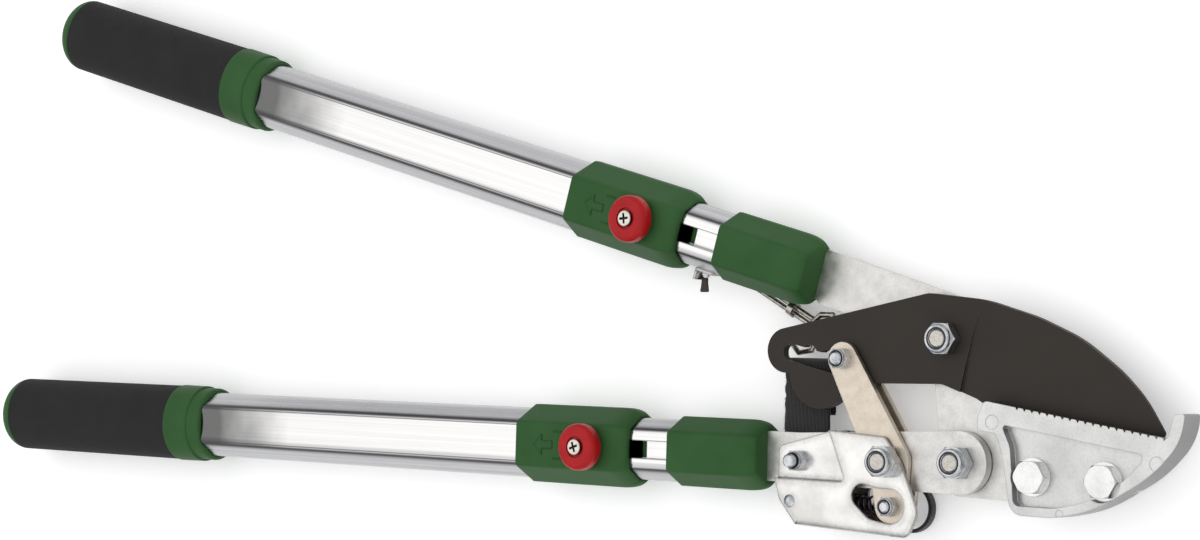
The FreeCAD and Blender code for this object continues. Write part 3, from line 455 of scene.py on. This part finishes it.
def sweep(bm, rings, closed=False):
    """Skins a list of equal rings of points; the ends are capped unless the sweep is closed."""
    made = [[bm.verts.new(point) for point in ring] for ring in rings]
    count = len(made[0])
    pairs = list(zip(made, made[1:]))
    if closed:
        pairs.append((made[-1], made[0]))
    for first, second in pairs:
        for i in range(count):
            j = (i + 1) % count
            bm.faces.new((first[i], first[j], second[j], second[i]))
    if not closed:
        bm.faces.new(made[0])
        bm.faces.new(reversed(made[-1]))


def ring_about(middle, u, v, ru, rv, count, power=1.0):
    """Points of an ellipse, or with a power under 1 of a rounded rectangle, spanned by u and v."""
    points = []
    for i in range(count):
        angle = 2 * math.pi * i / count
        c = math.cos(angle)
        k = math.sin(angle)
        points.append(middle + u * (ru * math.copysign(abs(c) ** power, c))
                      + v * (rv * math.copysign(abs(k) ** power, k)))
    return points


def nylon_rings():
    """The dark locking ring that shows round the bolt's tip in each lock nut."""
    threads = {"jaw_pivot_nut": 8, "arm_pivot_nut": 8, "link_pivot_nut": 8,
               "cover_nut": 6, "link_pin_nut": 6, "tail_nut": 5}
    for nut, thread in threads.items():
        middle = centre(nut)
        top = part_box(nut)[1][2]
        radius = (thread / 2 + 0.47) * MM

        def build(bm):
            rings = []
            for i in range(48):
                angle = 2 * math.pi * i / 48
                out = Vector((math.cos(angle), math.sin(angle), 0))
                at = Vector((middle.x, middle.y, top - 0.30 * MM)) + out * radius
                rings.append(ring_about(at, out, Vector((0, 0, 1)), 0.40 * MM, 0.26 * MM, 12))
            sweep(bm, rings, closed=True)

        piece(nut + "_nylon", build, NYLON, body_of(nut))


def strap_line():
    """Middle line of the strap in the YZ plane: up behind the arm, over the ring's bar, down again."""
    low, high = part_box("strap")
    ring_z = centre("strap_ring").z
    bend = 2.1 * MM
    top = high[1] - 0.7 * MM - bend
    line = []
    for i in range(26):
        t = i / 25
        line.append((low[1] + t * (top - low[1]), ring_z + bend + 0.12 * MM * math.sin(9 * t) * (1 - t)))
    for i in range(1, 12):
        angle = math.pi / 2 - math.pi * i / 12
        line.append((top + bend * math.cos(angle), ring_z + bend * math.sin(angle)))
    for i in range(14):
        t = i / 13
        line.append((top - t * 22 * MM, ring_z - bend - 0.2 * MM * math.sin(2.6 * t)))
    return line


def ribbon(bm, line, x_low, x_high, thick):
    """A flat band along a line in the YZ plane, with rounded edges that waver a little."""
    rings = []
    middle_x = (x_low + x_high) / 2
    half = (x_high - x_low) / 2
    for i, (y, z) in enumerate(line):
        y0, z0 = line[max(0, i - 1)]
        y1, z1 = line[min(len(line) - 1, i + 1)]
        along = Vector((0, y1 - y0, z1 - z0)).normalized()
        normal = Vector((1, 0, 0)).cross(along)
        wobble = 0.25 * MM * math.sin(1.7 * i) + 0.18 * MM * math.sin(4.1 * i)
        rings.append(ring_about(Vector((middle_x, y, z)), Vector((1, 0, 0)), normal,
                                half + wobble, thick / 2, 56, 0.35))
    sweep(bm, rings)


def strap():
    """The webbing behind the arms, with its loose yarns and its stitching."""
    low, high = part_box("strap")
    line = strap_line()
    left = low[0] + 0.4 * MM
    right = high[0] - 0.4 * MM
    band = piece("strap_webbing", lambda bm: ribbon(bm, line, left, right, 1.5 * MM),
                 WEBBING, "lower_frame")
    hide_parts("strap")
    frayed_edge(line, left, right)
    stitches(line, low[0], high[0])


def frayed_edge(line, x_low, x_high):
    """Loose yarn ends along both edges of the strap."""
    dice = random.Random(5)
    curve = bpy.data.curves.new("strap_fray", "CURVE")
    curve.dimensions = "3D"
    curve.bevel_depth = 0.13 * MM
    curve.bevel_resolution = 2
    run = line[6:24]
    for _ in range(46):
        y, z = run[dice.randrange(len(run))]
        y += dice.uniform(-1, 1) * MM
        left = dice.random() < 0.65
        x = x_low if left else x_high
        out = -1 if left else 1
        reach = dice.uniform(0.5, 1.7) * MM
        spline = curve.splines.new("POLY")
        spline.points.add(3)
        drop = dice.uniform(-1.4, 1.0) * MM
        for k, point in enumerate(spline.points):
            t = k / 3
            point.co = (x + out * reach * t - out * 0.5 * MM, y + drop * t * t,
                        z + dice.uniform(-0.3, 0.3) * MM * t, 1)
            point.radius = 1.0 - 0.6 * t
    thing = bpy.data.objects.new("strap_fray", curve)
    bpy.context.scene.collection.objects.link(thing)
    dress(thing, WEBBING)
    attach(thing, "lower_frame")


def stitches(line, x_low, x_high):
    """Two rows of stitching that hold the strap's turned end."""
    count = 11
    seam_y, seam_z = line[-4]

    def build(bm):
        for row in (-1, 1):
            y = seam_y + row * 2.6 * MM
            z = seam_z - 0.72 * MM
            for i in range(count):
                x = x_low + (i + 0.7) * (x_high - x_low) / (count + 0.4)
                rings = []
                for k in range(7):
                    t = k / 6
                    at = Vector((x + (t - 0.5) * 1.7 * MM, y, z - 0.16 * MM * math.sin(math.pi * t)))
                    rings.append(ring_about(at, Vector((0, 1, 0)), Vector((0, 0, 1)), 0.2 * MM, 0.2 * MM, 8))
                sweep(bm, rings)

    piece("strap_stitches", build, DARK_RUBBER, "lower_frame")


def strap_end_loop():
    """The strap's free end, curled into a flat loop behind the rear cover."""
    low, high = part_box("strap_loop")
    z = (low[2] + high[2]) / 2
    half = (high[2] - low[2]) / 2
    radius = (high[1] - low[1]) / 2 - 1.0 * MM
    right = Vector((high[0] - radius - 1.0 * MM, (low[1] + high[1]) / 2, z))
    left = Vector((low[0] + radius + 1.0 * MM, right.y, z))
    rings = []
    for middle, start in ((right, -90), (left, 90)):
        for i in range(19):
            angle = math.radians(start + 10 * i)
            out = Vector((math.cos(angle), math.sin(angle), 0))
            rings.append(ring_about(middle + out * radius, out, Vector((0, 0, 1)),
                                    0.85 * MM, half, 28, 0.45))
    loop = piece("strap_end_loop", lambda bm: sweep(bm, rings, closed=True),
                 WEBBING, "lower_frame")
    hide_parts("strap_loop")


def catch_tab():
    """The dark tab below the catch bracket, waisted in the middle and rounded at its end."""
    low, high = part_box("catch_tab")
    middle = centre("catch_tab")
    # Pairs: how far down the tab, and its width there as a part of the full width.
    shape = [(0.0, 0.80), (0.25, 0.70), (0.5, 0.72), (0.75, 0.86), (0.92, 1.0), (0.98, 0.94), (1.0, 0.7)]
    rings = []
    for t, width in shape:
        at = Vector((middle.x, high[1] - t * (high[1] - low[1]), middle.z))
        half_width = (high[0] - low[0]) / 2 * width
        half_thick = (high[2] - low[2]) / 2 * (1.0 if t < 0.95 else 0.7)
        rings.append(ring_about(at, Vector((1, 0, 0)), Vector((0, 0, 1)), half_width, half_thick, 24, 0.45))
    tab = piece("catch_tab_strip", lambda bm: sweep(bm, rings), DARK_RUBBER, "upper_frame")
    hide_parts("catch_tab")


def coil_spring(node, axis, across, turns, wire):
    """A helical spring of thin wire in a node's box, with its end turns drawn together."""
    low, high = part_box(node)
    middle = centre(node)
    size = Vector(high) - Vector(low)
    span = size.dot(axis) - 2 * wire
    radius = size.dot(across) / 2 - wire
    side = axis.cross(across)
    steps = turns * 28
    end_turn = 1.2 / turns

    def build(bm):
        rings = []
        for i in range(steps + 1):
            t = i / steps
            angle = 2 * math.pi * turns * t
            eased = max(0.0, min(1.0, (t - end_turn / 2) / (1 - end_turn)))
            place = 0.08 * t + 0.92 * eased
            out = across * math.cos(angle) + side * math.sin(angle)
            at = middle + axis * (span * (place - 0.5)) + out * radius
            rings.append(ring_about(at, out, axis, wire, wire, 10))
        sweep(bm, rings)

    coil = piece(node + "_coil", build, DARK_STEEL, body_of(node))
    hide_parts(node)
    return coil


def springs():
    """The coil that pushes the link's tail, and the two under the knobs, each with a mesh of its own."""
    coil = coil_spring("pawl_spring", Vector((1, 0, 0)), Vector((0, 1, 0)), 15, 0.52 * MM)
    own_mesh(coil)
    for side in TURN:
        node = side + "_lock_spring"
        coil = coil_spring(node, Vector((0, 0, 1)), Vector((1, 0, 0)), 3, 0.38 * MM)
        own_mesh(coil)


def raised_arrow(side):
    """Moulded arrow and grip bars on the front of a lock housing, beside the knob."""
    top = (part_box(side + "_lock_housing")[1][2] - MIDDLE) / MM - 1.3
    # Outlines in mm ahead of the knob and to the left of the axis: the arrow, then the bars.
    outlines = [[(-32, 0), (-26.5, 5.2), (-26.5, 2.0), (-20, 2.0), (-20, -2.0), (-26.5, -2.0), (-26.5, -5.2)]]
    for n in (-6.6, 6.0):
        outlines.append([(-20, n), (-20, n + 0.6), (-14.5, n + 0.6), (-14.5, n)])

    def build(bm):
        for outline in outlines:
            base = [bm.verts.new(on_handle(side, s, n, top - 0.1)) for s, n in outline]
            mid_s = sum(s for s, n in outline) / len(outline)
            mid_n = sum(n for s, n in outline) / len(outline)
            crown = [bm.verts.new(on_handle(side, s + (mid_s - s) * 0.05, n + (mid_n - n) * 0.08, top + 0.28))
                     for s, n in outline]
            bm.faces.new(crown)
            bm.faces.new(reversed(base))
            for i in range(len(outline)):
                j = (i + 1) % len(outline)
                bm.faces.new((base[i], base[j], crown[j], crown[i]))

    piece(side + "_arrow", build, GREEN, side + "_slider", smooth=False)


# ---------------------------------------------------------------- floor, light, camera

def floor():
    """The pale ground, a hair below the lowest point of the CAD."""
    bm = bmesh.new()
    bmesh.ops.create_grid(bm, x_segments=24, y_segments=24, size=4.0)
    mesh = bpy.data.meshes.new("floor")
    bm.to_mesh(mesh)
    bm.free()
    thing = bpy.data.objects.new("floor", mesh)
    thing.location.z = min(cad_box[0][2], 0.0) - 0.0002
    bpy.context.scene.collection.objects.link(thing)
    dress(thing, pale_floor())


def soft_light(name, at, size, power):
    """A large rectangular light at a place, looking at the tool's middle."""
    light = bpy.data.lights.new(name, "AREA")
    light.shape = "RECTANGLE"
    light.size = size[0]
    light.size_y = size[1]
    light.energy = power
    thing = bpy.data.objects.new(name, light)
    thing.location = at
    thing.rotation_euler = (Vector((0, 0, 0)) - Vector(at)).to_track_quat("-Z", "Y").to_euler()
    bpy.context.scene.collection.objects.link(thing)


def sky():
    """Studio surround: white overhead, greyer towards the horizon."""
    world = bpy.data.worlds.new("studio")
    bpy.context.scene.world = world
    world.use_nodes = True
    tree = world.node_tree
    back = tree.nodes["Background"]
    place = tree.nodes.new("ShaderNodeTexCoord")
    parts = tree.nodes.new("ShaderNodeSeparateXYZ")
    ramp = tree.nodes.new("ShaderNodeValToRGB")
    tree.links.new(place.outputs["Generated"], parts.inputs[0])
    tree.links.new(parts.outputs["Z"], ramp.inputs[0])
    tree.links.new(ramp.outputs[0], back.inputs[0])
    stops = ramp.color_ramp.elements
    stops[0].position = 0.0
    stops[0].color = (0.22, 0.22, 0.23, 1)
    stops[1].position = 0.95
    stops[1].color = (1.0, 1.0, 1.0, 1)
    middle = stops.new(0.55)
    middle.color = (0.80, 0.80, 0.81, 1)
    back.inputs[1].default_value = 1.12


# The photographed view: the camera's own axes, and its place from the lower handle's lock knob.
CAMERA_RIGHT = Vector((0.78434442, 0.0290983, -0.61964273))
CAMERA_UP = Vector((-0.00362745, 0.99909728, 0.04232577))
CAMERA_FROM_KNOB = Vector((0.76082, 0.043727, 0.971119))


def camera():
    """The camera at the place and angle of the photographed view."""
    data = bpy.data.cameras.new("camera")
    data.lens = 79.5
    data.sensor_width = 36.0
    thing = bpy.data.objects.new("camera", data)
    back = CAMERA_RIGHT.cross(CAMERA_UP)
    turn = Matrix((CAMERA_RIGHT, CAMERA_UP, back)).transposed()
    thing.matrix_world = Matrix.Translation(SEAT["lower"] + CAMERA_FROM_KNOB) @ turn.to_4x4()
    bpy.context.scene.collection.objects.link(thing)
    bpy.context.scene.camera = thing


dress_cad()
nylon_rings()
strap()
strap_end_loop()
springs()
catch_tab()
for handle_side in TURN:
    raised_arrow(handle_side)
floor()
sky()
soft_light("key", (-1.3, 0.6, 1.9), (2.4, 1.8), 5)
soft_light("fill", (0.9, -1.6, 1.3), (1.6, 1.2), 3)
soft_light("rim", (0.5, 1.8, 1.2), (1.8, 0.8), 1)
camera()
bpy.context.scene.view_settings.view_transform = "Standard"
